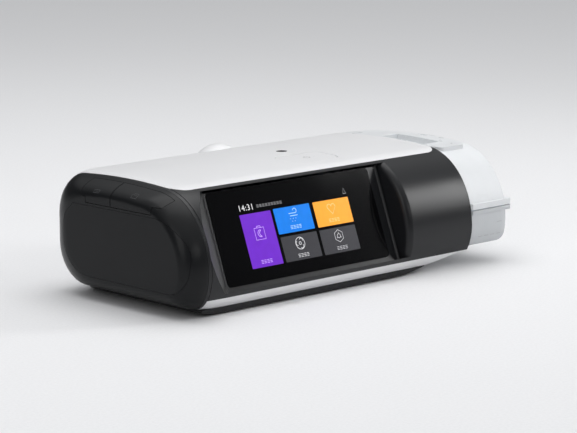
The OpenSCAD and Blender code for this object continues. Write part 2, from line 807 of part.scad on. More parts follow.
module outlet_duct() color("lightgray") placed()
    difference() {
        union() {
            rod_x(outlet_x, bulkhead_x, outlet_port_y, outlet_z, airway_r + duct_wall);
            rod_y(outlet_port_y, case_depth - 8, outlet_x, outlet_z, airway_r + duct_wall);
            translate([outlet_x, outlet_port_y, outlet_z]) sphere(r = airway_r + duct_wall);
        }
        rod_x(outlet_x, far, outlet_port_y, outlet_z, airway_r);
        rod_y(outlet_port_y, far, outlet_x, outlet_z, airway_r);
        translate([outlet_x, outlet_port_y, outlet_z]) sphere(r = airway_r);
    }

module outlet_socket() color("gray") placed()
    difference() {
        union() {
            rod_y(case_depth - 8, case_depth + 1, outlet_x, outlet_z, 14);
            intersection() {
                rod_y(case_depth - 8, case_depth - 5.8, outlet_x, outlet_z, 17);
                block(0, far, 0, far, 0, outlet_z + 8);
            }
        }
        rod_y(0, far, outlet_x, outlet_z, neck_r + run_gap);
    }

module outlet_elbow() color(WHITE) placed()
    difference() {
        union() {
            rod_y(case_depth - 7.5, elbow_y, outlet_x, outlet_z, neck_r);
            translate([outlet_x, elbow_y, outlet_z]) rotate([-90, 0, 0]) rotate_extrude($fn = 96)
                intersection() {
                    circle(r = dome_r);
                    translate([0, case_depth + 1 - elbow_y]) square([far, far]);
                }
            rod_x(outlet_x, outlet_x + collar_len, elbow_y, outlet_z, collar_r);
            rod_x(outlet_x, outlet_x + collar_len + spigot_len, elbow_y, outlet_z, spigot_r);
        }
        rod_y(0, elbow_y + airway_r, outlet_x, outlet_z, airway_r);
        rod_x(outlet_x, far, elbow_y, outlet_z, airway_r - 0.5);
    }

module silencer_box() color("gray") placed() {
    difference() {
        block(filter_x + 1, silencer_x1 - 1, silencer_y0, inner_rear - 3,
            filter_z - 2, filter_z + filter_h - 1);
        block(filter_x + 3, silencer_x1 - 3, silencer_y0 + 2, far,
            filter_z, filter_z + filter_h - 3);
        rod_y(0, silencer_y0 + 10, filter_x + filter_len / 2, filter_z + filter_h / 2, 8);
    }
    for (x = [filter_x + 1, silencer_x1 - 7])
        block(x, x + 6, silencer_y0, silencer_y0 + 6, deck_z, filter_z - 2);
}

module silencer_foam() color("darkgray") placed()
    difference() {
        block(filter_x + 3, silencer_x1 - 3, silencer_y0 + 2, silencer_y0 + 14,
            filter_z, filter_z + filter_h - 3);
        rod_y(0, far, filter_x + filter_len / 2, filter_z + filter_h / 2, 7);
    }

module inlet_filter() color("white") placed()
    block(filter_x + 4.6, filter_x + filter_len - 4.6, inner_rear - 3, case_depth - 0.4,
        filter_z + 4.6, filter_z + filter_h - 4.6);

module filter_cover() color(WHITE) placed()
    difference() {
        union() {
            block(filter_x, filter_x + filter_len, case_depth, case_depth + 2,
                filter_z, filter_z + filter_h);
            block(filter_x + 2.4, filter_x + filter_len - 2.4, inner_rear - 0.5, case_depth + 1,
                filter_z + 2.4, filter_z + filter_h - 2.4);
        }
        block(filter_x + 4.2, filter_x + filter_len - 4.2, 0, case_depth,
            filter_z + 4.2, filter_z + filter_h - 4.2);
        for (i = [0:8])
            block(filter_x + 6 + 4.6 * i, filter_x + 8.4 + 4.6 * i, 0, far,
                filter_z + 5.5, filter_z + filter_h - 5.5);
    }

module power_socket() color("black") placed() {
    difference() {
        union() {
            rod_y(case_depth - 11, case_depth - 0.2, 130, 38, 5.5);
            rod_y(inner_rear - 3.5, inner_rear - 0.3, 130, 38, 7.5);
        }
        rod_y(case_depth - 10, far, 130, 38, 3.8);
    }
    rod_y(case_depth - 10.5, case_depth - 5.2, 130, 38, 0.8);
}

module main_board() color("darkgreen") placed()
    difference() {
        union() {
            block(post_x0 - 8, post_x1 + 6, 42, post_y1 + 5, board_z, board_z + board_t);
            block(post_x0 + 16, post_x0 + 42, 84, 108, board_z + board_t, board_z + board_t + 3);
            block(post_x1 - 32, post_x1 - 16, 60, 76, board_z + board_t, board_z + board_t + 2.4);
            for (y = [56, 70, 84])
                rod_z(board_z + board_t, board_z + board_t + 9, post_x0 + 6, y, 4);
        }
        for (p = post_sites) rod_z(0, far, p[0], p[1], 1.5);
    }

module speaker() color("black") placed() {
    rod_z(deck_z, deck_z + 4, bulkhead_x - 26, blower_y + 2, 13);
    rod_z(deck_z + 4, deck_z + 7, bulkhead_x - 26, blower_y + 2, 8);
}

module heater_plate() color("silver") placed()
    block(heat_x0 + fit, heat_x1 - fit, heat_y0 + fit, heat_y1 - fit,
        bay_floor_z - 2, bay_floor_z + 0.05);

// Outline of the tank's part outside the case, at distance x from its end
function tank_outline(x, off) =
    d_outline(fit + off, 1.2 * draw_in(x, 4), 24 * draw_in(x, 34), 1.5 * draw_in(x, 6));

// The tank's solid form drawn in by off: a narrow part in the bay and a flush part outside,
// both cut by the flat underside with its rounded end
module tank_form(off) {
    narrow = d_outline(wall + bay_gap + off);
    step_x = case_len + 0.5 + off;
    end_x = tank_x1 - off;
    xs = [for (i = [0:9]) end_x - (end_x - step_x) * (1 - sin(10 * i))];
    intersection() {
        skin(concat([tank_x0 + off, step_x], xs),
            concat([narrow, narrow], [for (x = xs) tank_outline(end_x - x, off)]));
        along_y(-far, 2 * far) polygon(concat(
            [[end_x + 1, far], [0, far], [0, tank_z + off]],
            arc(end_x - tank_end_r + off, tank_z + tank_end_r, tank_end_r - off,
                tank_end_r - off, 270, 360, 8),
            [[end_x + 1, tank_z + tank_end_r + 1]]));
    }
}

// The opening lip's outline from above
module lip_plan()
    polygon(concat(
        [[case_len + 1, 0]],
        arc(tank_x1 + lip_out - 3, 3, 3, 3, 270, 360, 6),
        arc(tank_x1 + lip_out - 20, 112, 20, 20, 0, 90, 8),
        [[case_len + 1, 132]]));

module tank_tub() color(CLEAR) placed()
    difference() {
        union() {
            intersection() {
                tank_form(0);
                block(0, far, -far, far, 0, tank_split_z - gasket_t / 2);
            }
            along_z(tank_split_z - gasket_t / 2 - lip_t, lip_t) lip_plan();
        }
        tank_form(tank_wall);
        block(heat_x0 - 0.5, heat_x1 + 10.9, heat_y0 - 5.2, heat_y1 + 5.2,
            0, tank_z + tank_plate_t);
        block(heat_x0 + 1.7, heat_x1 + 8.7, heat_y0 - 3, heat_y1 + 3, 0, tank_z + tank_wall + 1);
    }

module tank_lid() color(CLEAR) placed()
    difference() {
        union() {
            difference() {
                intersection() {
                    tank_form(0);
                    block(0, far, -far, far, tank_split_z + gasket_t / 2, far);
                }
                tank_form(tank_wall);
            }
            difference() {
                along_z(tank_split_z + gasket_t / 2, lid_lip_t) lip_plan();
                tank_form(tank_wall);
            }
            difference() {
                along_z(case_top - 6, 5.6) rounded(case_len + 1, case_len + 27, pad_y0, 104, 4);
                tank_form(tank_wall);
            }
            intersection() {
                block(case_len + 1, case_len + 22.6, pad_y0 + 18, 97,
                    case_top - scoop_depth - tank_wall, case_top + 2);
                tank_form(0.5);
            }
            for (p = [[blower_port_y, blower_port_z], [outlet_port_y, outlet_z]])
                rod_x(tank_x0, tank_x0 + 24, p[0], p[1], port_r + 1.6);
        }
        block(case_len + 3, case_len + 20.6, pad_y0 + 20, 95, case_top - scoop_depth, far);
        for (p = [[blower_port_y, blower_port_z], [outlet_port_y, outlet_z]])
            rod_x(0, tank_x0 + 25, p[0], p[1], port_r);
    }

module tank_gasket() color("lightsteelblue") placed()
    intersection() {
        difference() {
            tank_form(0);
            tank_form(tank_wall);
        }
        block(0, far, -far, far, tank_split_z - gasket_t / 2, tank_split_z + gasket_t / 2);
    }

module tank_plate() color("silver") placed()
    block(heat_x0 - 0.3, heat_x1 + 10.7, heat_y0 - 5, heat_y1 + 5, tank_z, tank_z + tank_plate_t);

module case_screws() color("silver") placed()
    for (p = post_sites) {
        rod_z(foot_h + 0.3, foot_h + 1.8, p[0], p[1], 2 * screw_r);
        rod_z(foot_h + 1.8, floor_z + 7, p[0], p[1], screw_r);
    }

module board_screws() color("silver") placed()
    for (p = post_sites) {
        rod_z(board_z - 7, board_z + board_t, p[0], p[1], 1.2);
        rod_z(board_z + board_t, board_z + board_t + 1.6, p[0], p[1], 2.6);
    }

module rubber_feet() color("black") placed()
    for (p = foot_sites) rod_z(0, foot_h + foot_sink, p[0], p[1], foot_r);

upper_shell();
lower_shell();
base_plate();
front_panel();
end_ring();
end_cap();
end_panel();
card_door();
port_door();
hinge_pin();
port_tray();
card_slot();
memory_card();
port_socket();
display_glass();
display_module();
display_board();
start_button();
button_tray();
button_board();
button_dome();
sensor_lens();
chassis();
bulkhead();
port_seals();
blower_base();
blower_cover();
motor_stator();
motor_bearing();
motor_shaft();
impeller();
blower_duct();
outlet_duct();
outlet_socket();
outlet_elbow();
silencer_box();
silencer_foam();
inlet_filter();
filter_cover();
power_socket();
main_board();
speaker();
heater_plate();
tank_tub();
tank_lid();
tank_gasket();
tank_plate();
case_screws();
board_screws();
rubber_feet();
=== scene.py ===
"""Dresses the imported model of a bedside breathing-therapy machine.

It gives every piece its finish, rounds the shells' edges, draws the display's picture and the small marks,
and sets the floor, lamps and camera.
Places are given in the case's own millimetres: x from the closed end, y back from the nose and z up from
the table. Lamps, camera and floor are in metres about the case's middle.
"""

import json
import math

import bmesh
import bpy
from mathutils import Matrix, Vector
from mathutils.bvhtree import BVHTree


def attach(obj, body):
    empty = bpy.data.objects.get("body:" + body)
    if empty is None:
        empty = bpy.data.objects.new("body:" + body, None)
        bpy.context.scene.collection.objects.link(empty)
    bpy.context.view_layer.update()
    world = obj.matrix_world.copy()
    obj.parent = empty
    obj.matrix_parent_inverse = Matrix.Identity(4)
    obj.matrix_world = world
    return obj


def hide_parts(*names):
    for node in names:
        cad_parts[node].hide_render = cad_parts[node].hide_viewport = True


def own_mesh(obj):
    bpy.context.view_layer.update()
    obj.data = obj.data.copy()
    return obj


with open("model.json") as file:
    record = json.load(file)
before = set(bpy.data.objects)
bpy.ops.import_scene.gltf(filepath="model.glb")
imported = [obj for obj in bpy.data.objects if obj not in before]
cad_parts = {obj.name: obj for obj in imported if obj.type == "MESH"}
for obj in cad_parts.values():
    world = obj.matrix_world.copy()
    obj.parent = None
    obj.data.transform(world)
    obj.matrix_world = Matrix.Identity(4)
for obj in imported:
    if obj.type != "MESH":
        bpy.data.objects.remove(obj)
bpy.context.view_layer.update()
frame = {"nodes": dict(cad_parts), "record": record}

MM = 0.001
# Place of the case's zero corner in the model's frame
CASE_ORIGIN = Vector((-159.75, -95.75, 0.0))
# Tilt of the display face back from upright, and where the face starts
FACE_TILT = math.radians(21.0)
FACE_Y = 8.0
FACE_Z = 11.0
FACE_UP = Vector((0.0, math.sin(FACE_TILT), math.cos(FACE_TILT)))
FACE_FRONT = Vector((0.0, -math.cos(FACE_TILT), math.sin(FACE_TILT)))
# Centre of the start button and of the rubber dome under it
BUTTON_X = 169.0
BUTTON_Y = 64.0
# How far the glass stands proud of the face
GLASS_PROUD = 0.3


def place(x, y, z):
    """A point of the case, in metres in the model's frame."""
    return (Vector((x, y, z)) + CASE_ORIGIN) * MM


def face_place(x, v, out):
    """A point x along and v up the display face, and out in front of it."""
    return (Vector((x, FACE_Y, FACE_Z)) + FACE_UP * v + FACE_FRONT * out + CASE_ORIGIN) * MM


# ---------------------------------------------------------------- materials

# Size in millimetres of the slow change of colour and of gloss on moulded pieces
DRIFT_MM = 38.0
WEAR_MM = 24.0
# Size of the faint cloud and of the grain in the tank's plastic, and the grain's depth
CLOUD_MM = 16.0
TANK_GRAIN_MM = 3.0
TANK_GRAIN_DEPTH_MM = 0.004
# Size of the change of brightness in the display's lit fields
PIXEL_CLOUD_MM = 6.0
# The part of a noise's range that is stretched over a colour or a value
NOISE_LOW = 0.3
NOISE_HIGH = 0.7


class Finish:
    """A Principled material that is built node by node."""

    def __init__(self, name):
        self.material = bpy.data.materials.new(name)
        self.material.use_nodes = True
        self.tree = self.material.node_tree
        self.nodes = self.tree.nodes
        self.shader = self.nodes["Principled BSDF"]
        self.coords = self.nodes.new("ShaderNodeTexCoord").outputs["Object"]

    def set(self, **values):
        """Sets the shader's inputs, named with underscores for spaces, to constant values."""
        for key, value in values.items():
            self.shader.inputs[key.replace("_", " ")].default_value = value

    def link(self, source, target):
        self.tree.links.new(source, target)

    def noise(self, size_mm, detail=2.0):
        """A noise over the piece's own place whose cells are about this large."""
        node = self.nodes.new("ShaderNodeTexNoise")
        node.inputs["Scale"].default_value = 1.0 / (size_mm * MM)
        node.inputs["Detail"].default_value = detail
        self.link(self.coords, node.inputs["Vector"])
        return node.outputs["Fac"]

    def ramp(self, source, low, high):
        """A colour that runs from low to high with the source."""
        node = self.nodes.new("ShaderNodeValToRGB")
        node.color_ramp.elements[0].position = NOISE_LOW
        node.color_ramp.elements[0].color = low
        node.color_ramp.elements[1].position = NOISE_HIGH
        node.color_ramp.elements[1].color = high
        self.link(source, node.inputs["Fac"])
        return node.outputs["Color"]

    def span(self, source, low, high):
        """A number that runs from low to high with the source."""
        node = self.nodes.new("ShaderNodeMapRange")
        node.inputs["From Min"].default_value = NOISE_LOW
        node.inputs["From Max"].default_value = NOISE_HIGH
        node.inputs["To Min"].default_value = low
        node.inputs["To Max"].default_value = high
        self.link(source, node.inputs["Value"])
        return node.outputs["Result"]

    def bump(self, source, depth_mm):
        """A fine grain of this depth on the surface."""
        node = self.nodes.new("ShaderNodeBump")
        node.inputs["Strength"].default_value = 1.0
        node.inputs["Distance"].default_value = depth_mm * MM
        self.link(source, node.inputs["Height"])
        self.link(node.outputs["Normal"], self.shader.inputs["Normal"])


def shade(colour, factor):
    """A colour made lighter or darker, with full opacity."""
    return (colour[0] * factor, colour[1] * factor, colour[2] * factor, 1.0)


def moulded(name, colour, roughness, grain_mm, grain_depth_mm, mottle=0.04, coat=0.0, gloss=0.5):
    """Moulded or painted plastic: slight colour drift, uneven gloss and a fine grain."""
    finish = Finish(name)
    drift = finish.noise(DRIFT_MM, 3.0)
    finish.link(
        finish.ramp(drift, shade(colour, 1.0 - mottle), shade(colour, 1.0 + mottle)),
        finish.shader.inputs["Base Color"],
    )
    wear = finish.noise(WEAR_MM, 2.0)
    finish.link(
        finish.span(wear, roughness * 0.96, roughness * 1.05), finish.shader.inputs["Roughness"]
    )
    finish.bump(finish.noise(grain_mm, 2.0), grain_depth_mm)
    finish.set(Coat_Weight=coat, Coat_Roughness=0.12, Specular_IOR_Level=gloss)
    return finish.material


def metal(name, colour, roughness, grain_mm=0.6):
    """Plain metal with a fine, uneven polish."""
    finish = Finish(name)
    streak = finish.noise(grain_mm, 3.0)
    finish.link(
        finish.ramp(streak, shade(colour, 0.9), shade(colour, 1.05)), finish.shader.inputs["Base Color"]
    )
    finish.link(finish.span(streak, roughness * 0.8, roughness * 1.25), finish.shader.inputs["Roughness"])
    finish.set(Metallic=1.0)
    return finish.material


def tank_plastic(name, colour, roughness, clarity):
    """Frosted plastic; clarity is the share of light that it lets through."""
    finish = Finish(name)
    cloud = finish.noise(CLOUD_MM, 3.0)
    finish.link(
        finish.ramp(cloud, shade(colour, 0.97), shade(colour, 1.0)), finish.shader.inputs["Base Color"]
    )
    finish.link(finish.span(cloud, roughness * 0.8, roughness * 1.2), finish.shader.inputs["Roughness"])
    finish.bump(finish.noise(TANK_GRAIN_MM, 2.0), TANK_GRAIN_DEPTH_MM)
    finish.set(Transmission_Weight=clarity, IOR=1.2, Specular_IOR_Level=0.5)
    return finish.material


def lit(name, colour, glow):
    """A lit picture element under the display's glossy surface."""
    finish = Finish(name)
    cell = finish.noise(PIXEL_CLOUD_MM, 1.0)
    painted = finish.ramp(cell, shade(colour, 0.96), shade(colour, 1.0))
    finish.link(painted, finish.shader.inputs["Emission Color"])
    unlit = finish.ramp(cell, shade(colour, 0.3), shade(colour, 0.34))
    finish.link(unlit, finish.shader.inputs["Base Color"])
    finish.set(Emission_Strength=glow, Roughness=0.12)
    return finish.material


WHITE = moulded("satin_white", (0.8, 0.8, 0.81), 0.34, 0.7, 0.003, 0.012)
CHARCOAL = moulded("charcoal_paint", (0.011, 0.0115, 0.013), 0.3, 0.5, 0.004, 0.06, gloss=0.3)
SMOKE = moulded("smoked_plastic", (0.009, 0.0095, 0.0105), 0.3, 0.8, 0.003, 0.08, gloss=0.17)
BASE_GREY = moulded("base_grey", (0.01, 0.0105, 0.012), 0.48, 0.5, 0.008, 0.08, gloss=0.3)
BUTTON = moulded("button_white", (0.78, 0.78, 0.79), 0.36, 0.7, 0.003, 0.012)
LENS = moulded("lens_black", (0.008, 0.008, 0.01), 0.12, 1.5, 0.001, 0.1)
GLASS = moulded("display_black", (0.0025, 0.0025, 0.003), 0.07, 2.0, 0.0004, 0.1)
LID_FROSTED = tank_plastic("lid_frosted", (0.76, 0.775, 0.79), 0.32, 0.0)
TUB_CLEAR = tank_plastic("tub_clear", (0.86, 0.88, 0.9), 0.22, 0.5)
SEAL = moulded("seal_silicone", (0.5, 0.56, 0.6), 0.5, 0.8, 0.004)
FOOT = moulded("foot_rubber", (0.02, 0.02, 0.02), 0.75, 0.5, 0.02)
STEEL = metal("plain_steel", (0.55, 0.56, 0.58), 0.32)
ALUMINIUM = metal("plate_aluminium", (0.72, 0.73, 0.75), 0.4)
INNER = moulded("inner_grey", (0.22, 0.23, 0.25), 0.5, 0.7, 0.006)
IVORY = moulded("blower_ivory", (0.6, 0.59, 0.53), 0.45, 0.7, 0.005)
BOARD = moulded("board_green", (0.012, 0.09, 0.04), 0.35, 1.2, 0.01, 0.15)
DARK = moulded("inner_black", (0.02, 0.02, 0.022), 0.45, 0.7, 0.006)
DOME = moulded("dome_rubber", (0.6, 0.6, 0.6), 0.6, 0.7, 0.006)
COPPER = metal("wound_copper", (0.7, 0.32, 0.16), 0.35, 0.4)
FOAM = moulded("filter_foam", (0.62, 0.62, 0.63), 0.95, 1.1, 0.5, 0.1)
MARK_GREY = moulded("mark_grey", (0.3, 0.3, 0.31), 0.5, 0.5, 0.001)
MARK_FAINT = moulded("mark_faint", (0.045, 0.046, 0.05), 0.45, 0.5, 0.001)

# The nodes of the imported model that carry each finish
NODE_FINISH = {
    WHITE: ["upper_shell", "lower_shell", "filter_cover", "outlet_elbow"],
    CHARCOAL: ["front_panel", "end_ring"],
    SMOKE: ["end_cap", "end_panel", "card_door", "port_door"],
    BASE_GREY: ["base_plate"],
    BUTTON: ["start_button"],
    LENS: ["sensor_lens"],
    GLASS: ["display_glass"],
    TUB_CLEAR: ["tank_tub"],
    LID_FROSTED: ["tank_lid"],
    SEAL: ["tank_gasket", "port_seals"],
    FOOT: ["rubber_feet"],
    STEEL: [
        "hinge_pin",
        "motor_shaft",
        "motor_bearing",
        "case_screws",
        "board_screws",
        "card_slot",
        "port_socket",
        "chassis",
    ],
    ALUMINIUM: ["heater_plate", "tank_plate"],
    INNER: [
        "port_tray",
        "button_tray",
        "bulkhead",
        "blower_duct",
        "outlet_duct",
        "outlet_socket",
        "silencer_box",
    ],
    IVORY: ["blower_base", "blower_cover", "impeller"],
    BOARD: ["display_board", "button_board", "main_board"],
    DARK: ["memory_card", "display_module", "power_socket", "speaker"],
    DOME: ["button_dome"],
    COPPER: ["motor_stator"],
    FOAM: ["silencer_foam", "inlet_filter"],
}
FINISH_OF = {node: finish for finish, nodes in NODE_FINISH.items() for node in nodes}
for node, finish in FINISH_OF.items():
    mesh = frame["nodes"][node].data
    mesh.materials.clear()
    mesh.materials.append(finish)

BODY_OF = {
    node: body for body, nodes in frame["record"]["behaviour"]["bodies"].items() for node in nodes
}


# ---------------------------------------------------------------- finished copies of the CAD shells


def add_piece(name, mesh, finish, body):
    """Puts a mesh in the scene as a piece that rides a body; without a finish it keeps its own."""
    piece = bpy.data.objects.new(name, mesh)
    bpy.context.scene.collection.objects.link(piece)
    if finish:
        mesh.materials.clear()
        mesh.materials.append(finish)
    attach(piece, body)
    return piece


def as_mesh(worker):
    """The evaluated worker object as a plain mesh; the worker is removed."""
    graph = bpy.context.evaluated_depsgraph_get()
    mesh = bpy.data.meshes.new_from_object(worker.evaluated_get(graph), depsgraph=graph)
    bpy.data.objects.remove(worker)
    return mesh


# Edges that turn by more than this stay sharp or are rounded; flatter ones are smoothed
SHARP_ANGLE = math.radians(28.0)
# Neighbouring faces that differ by less than this become one face
FLAT_ANGLE = math.radians(0.4)


def rounded_copy(node, edge_mm, weld_mm=0.02, merge=True):
    """Replaces a CAD node by a copy, welded and smoothed, whose edges are broken by a small round."""
    mesh = frame["nodes"][node].data.copy()
    bm = bmesh.new()
    bm.from_mesh(mesh)
    bmesh.ops.remove_doubles(bm, verts=bm.verts, dist=weld_mm * MM)
    if merge:
        bmesh.ops.dissolve_limit(
            bm, angle_limit=FLAT_ANGLE, verts=bm.verts, edges=bm.edges, delimit={"MATERIAL"}
        )
    for face in bm.faces:
        face.smooth = True
    for edge in bm.edges:
        edge.smooth = edge.calc_face_angle(0.0) < SHARP_ANGLE
    bm.to_mesh(mesh)
    bm.free()
    worker = bpy.data.objects.new(node + "_work", mesh)
    bpy.context.scene.collection.objects.link(worker)
    if edge_mm > 0.0:
        bevel = worker.modifiers.new("edges", "BEVEL")
        bevel.width = edge_mm * MM
        bevel.segments = 2
        bevel.limit_method = "ANGLE"
        bevel.angle_limit = SHARP_ANGLE
        bevel.harden_normals = True
        bevel.use_clamp_overlap = True
    weigh = worker.modifiers.new("normals", "WEIGHTED_NORMAL")
    weigh.keep_sharp = True
    mesh = as_mesh(worker)
    piece = add_piece(node + "_finished", mesh, FINISH_OF[node], BODY_OF[node])
    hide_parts(node)


# Round on the edges of each shell, in millimetres; the tank's lid is only smoothed
EDGE_ROUNDS = {
    "upper_shell": 0.5,
    "lower_shell": 0.3,
    "front_panel": 0.5,
    "end_ring": 0.3,
    "end_cap": 0.35,
    "end_panel": 0.35,
    "card_door": 0.3,
    "port_door": 0.3,
    "base_plate": 0.4,
    "start_button": 0.4,
    "tank_tub": 0.4,
    "outlet_elbow": 0.6,
    "filter_cover": 0.4,
}
for node, edge_mm in EDGE_ROUNDS.items():
    rounded_copy(node, edge_mm)
rounded_copy("tank_lid", 0.0, weld_mm=0.1, merge=False)


def turned_solid(profile, x, y, sides=40):
    """A closed turned mesh from radius and height pairs, about an upright axis of the case."""
    bm = bmesh.new()
    rings = []
    for radius, z in profile:
        loop = []
        for i in range(sides):
            turn = math.tau * i / sides
            loop.append(bm.verts.new(place(x + radius * math.cos(turn), y + radius * math.sin(turn), z)))
        rings.append(loop)
    for low, high in zip(rings, rings[1:]):
        for i in range(sides):
            bm.faces.new((low[i], low[(i + 1) % sides], high[(i + 1) % sides], high[i]))
    bm.faces.new(list(reversed(rings[0])))
    bm.faces.new(rings[-1])
    mesh = bpy.data.meshes.new("turned")
    bmesh.ops.recalc_face_normals(bm, faces=bm.faces)
    bm.to_mesh(mesh)
    bm.free()
    return mesh


# The key's rubber dome: a thin foot, a sloping wall and a plunger
DOME_FOOT_Z = 77.1
DOME_PROFILE = [
    (5.9, DOME_FOOT_Z),
    (5.9, 77.7),
    (5.2, 77.9),
    (3.4, 79.9),
    (2.6, 80.1),
    (2.6, 80.55),
    (2.45, 80.7),
]
dome_mesh = turned_solid(DOME_PROFILE, BUTTON_X, BUTTON_Y)
dome = add_piece("key_dome", dome_mesh, DOME, "case")
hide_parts("button_dome")
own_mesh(dome)


# ---------------------------------------------------------------- display picture and printed marks


def stroke_tree():
    """Turns edge paths into flat printed strokes."""
    tree = bpy.data.node_groups.new("printed_stroke", "GeometryNodeTree")
    tree.interface.new_socket("Geometry", in_out="INPUT", socket_type="NodeSocketGeometry")
    tree.interface.new_socket("Stroke Width", in_out="INPUT", socket_type="NodeSocketFloat")
    tree.interface.new_socket("Stroke Depth", in_out="INPUT", socket_type="NodeSocketFloat")
    tree.interface.new_socket("Ink", in_out="INPUT", socket_type="NodeSocketMaterial")
    tree.interface.new_socket("Geometry", in_out="OUTPUT", socket_type="NodeSocketGeometry")
    nodes = tree.nodes
    inputs = nodes.new("NodeGroupInput")
    to_curve = nodes.new("GeometryNodeMeshToCurve")
    upright = nodes.new("GeometryNodeSetCurveNormal")
    upright.mode = "Z_UP"
    profile = nodes.new("GeometryNodeCurvePrimitiveQuadrilateral")
    sweep = nodes.new("GeometryNodeCurveToMesh")
    sweep.inputs["Fill Caps"].default_value = True
    realize = nodes.new("GeometryNodeRealizeInstances")
    ink = nodes.new("GeometryNodeSetMaterial")
    outputs = nodes.new("NodeGroupOutput")
    for source, target in (
        (inputs.outputs["Geometry"], to_curve.inputs["Mesh"]),
        (to_curve.outputs["Curve"], upright.inputs["Curve"]),
        (upright.outputs["Curve"], sweep.inputs["Curve"]),
        (inputs.outputs["Stroke Width"], profile.inputs["Width"]),
        (inputs.outputs["Stroke Depth"], profile.inputs["Height"]),
        (profile.outputs["Curve"], sweep.inputs["Profile Curve"]),
        (sweep.outputs["Mesh"], realize.inputs["Geometry"]),
        (realize.outputs["Geometry"], ink.inputs["Geometry"]),
        (inputs.outputs["Ink"], ink.inputs["Material"]),
        (ink.outputs["Geometry"], outputs.inputs["Geometry"]),
    ):
        tree.links.new(source, target)
    return tree


STROKES = stroke_tree()
STROKE_SOCKET = {
    item.name: item.identifier
    for item in STROKES.interface.items_tree
    if item.item_type == "SOCKET" and item.in_out == "INPUT"
}


def arc(cx, cy, radius, start, end, count=16):
    """Points of an arc, in degrees."""
    return [
        (
            cx + radius * math.cos(math.radians(start + (end - start) * i / count)),
            cy + radius * math.sin(math.radians(start + (end - start) * i / count)),
        )
        for i in range(count + 1)
    ]


def printed_strokes(paths, width_mm, depth_mm, ink):
    """A mesh of flat strokes along the paths, in its own plane, in millimetres."""
    mesh = bpy.data.meshes.new("stroke_paths")
    verts, edges = [], []
    for path in paths:
        first = len(verts)
        closed = math.dist(path[0], path[-1]) < 1e-6
        points = path[:-1] if closed else path
        verts += [(x, y, 0.0) for x, y in points]
        edges += [(first + i, first + i + 1) for i in range(len(points) - 1)]
        if closed:
            edges.append((first + len(points) - 1, first))
    mesh.from_pydata(verts, edges, [])
    worker = bpy.data.objects.new("stroke_worker", mesh)
    modifier = worker.modifiers.new("strokes", "NODES")
    modifier.node_group = STROKES
    modifier[STROKE_SOCKET["Stroke Width"]] = width_mm
    modifier[STROKE_SOCKET["Stroke Depth"]] = depth_mm
    modifier[STROKE_SOCKET["Ink"]] = ink
    bpy.context.scene.collection.objects.link(worker)
    return as_mesh(worker)


def rounded_plate(x0, x1, y0, y1, radius, depth):
    """A thin plate with round corners, in its own plane, in millimetres."""
    outline = []
    for cx, cy, start in (
        (x1 - radius, y1 - radius, 0),
        (x0 + radius, y1 - radius, 90),
        (x0 + radius, y0 + radius, 180),
        (x1 - radius, y0 + radius, 270),
    ):
        outline += arc(cx, cy, radius, start, start + 90, 4)
    bm = bmesh.new()
    low = [bm.verts.new((x, y, -depth / 2)) for x, y in outline]
    high = [bm.verts.new((x, y, depth / 2)) for x, y in outline]
    bm.faces.new(list(reversed(low)))
    bm.faces.new(high)
    for i in range(len(outline)):
        j = (i + 1) % len(outline)
        bm.faces.new((low[i], low[j], high[j], high[i]))
    mesh = bpy.data.meshes.new("plate")
    bm.to_mesh(mesh)
    bm.free()
    return mesh


def face_matrix(x, v, out):
    """Lays millimetre drawings on the display face with their zero at x, v."""
    turn = Matrix((Vector((1.0, 0.0, 0.0)), FACE_UP, FACE_FRONT)).transposed().to_4x4()
    return Matrix.Translation(face_place(x, v, out)) @ turn @ Matrix.Scale(MM, 4)


def joined(name, parts):
    """One mesh out of several, each with its own matrix and finish."""
    bm = bmesh.new()
    finishes = []
    for mesh, matrix, finish in parts:
        mesh.transform(matrix)
        if finish not in finishes:
            finishes.append(finish)
        start = len(bm.faces)
        bm.from_mesh(mesh)
        bm.faces.ensure_lookup_table()
        for face in bm.faces[start:]:
            face.material_index = finishes.index(finish)
    result = bpy.data.meshes.new(name)
    bmesh.ops.recalc_face_normals(bm, faces=bm.faces)
    bm.to_mesh(result)
    bm.free()
    for finish in finishes:
        result.materials.append(finish)
    return result


def ring(radius):
    """A closed round path about the drawing's zero."""
    return arc(0.0, 0.0, radius, 0, 360, 28)


def hexagon(radius):
    """A closed six-sided path about the drawing's zero, with a corner at 30 degrees."""
    corners = [math.radians(30 + 60 * i) for i in range(7)]
    return [(radius * math.cos(turn), radius * math.sin(turn)) for turn in corners]


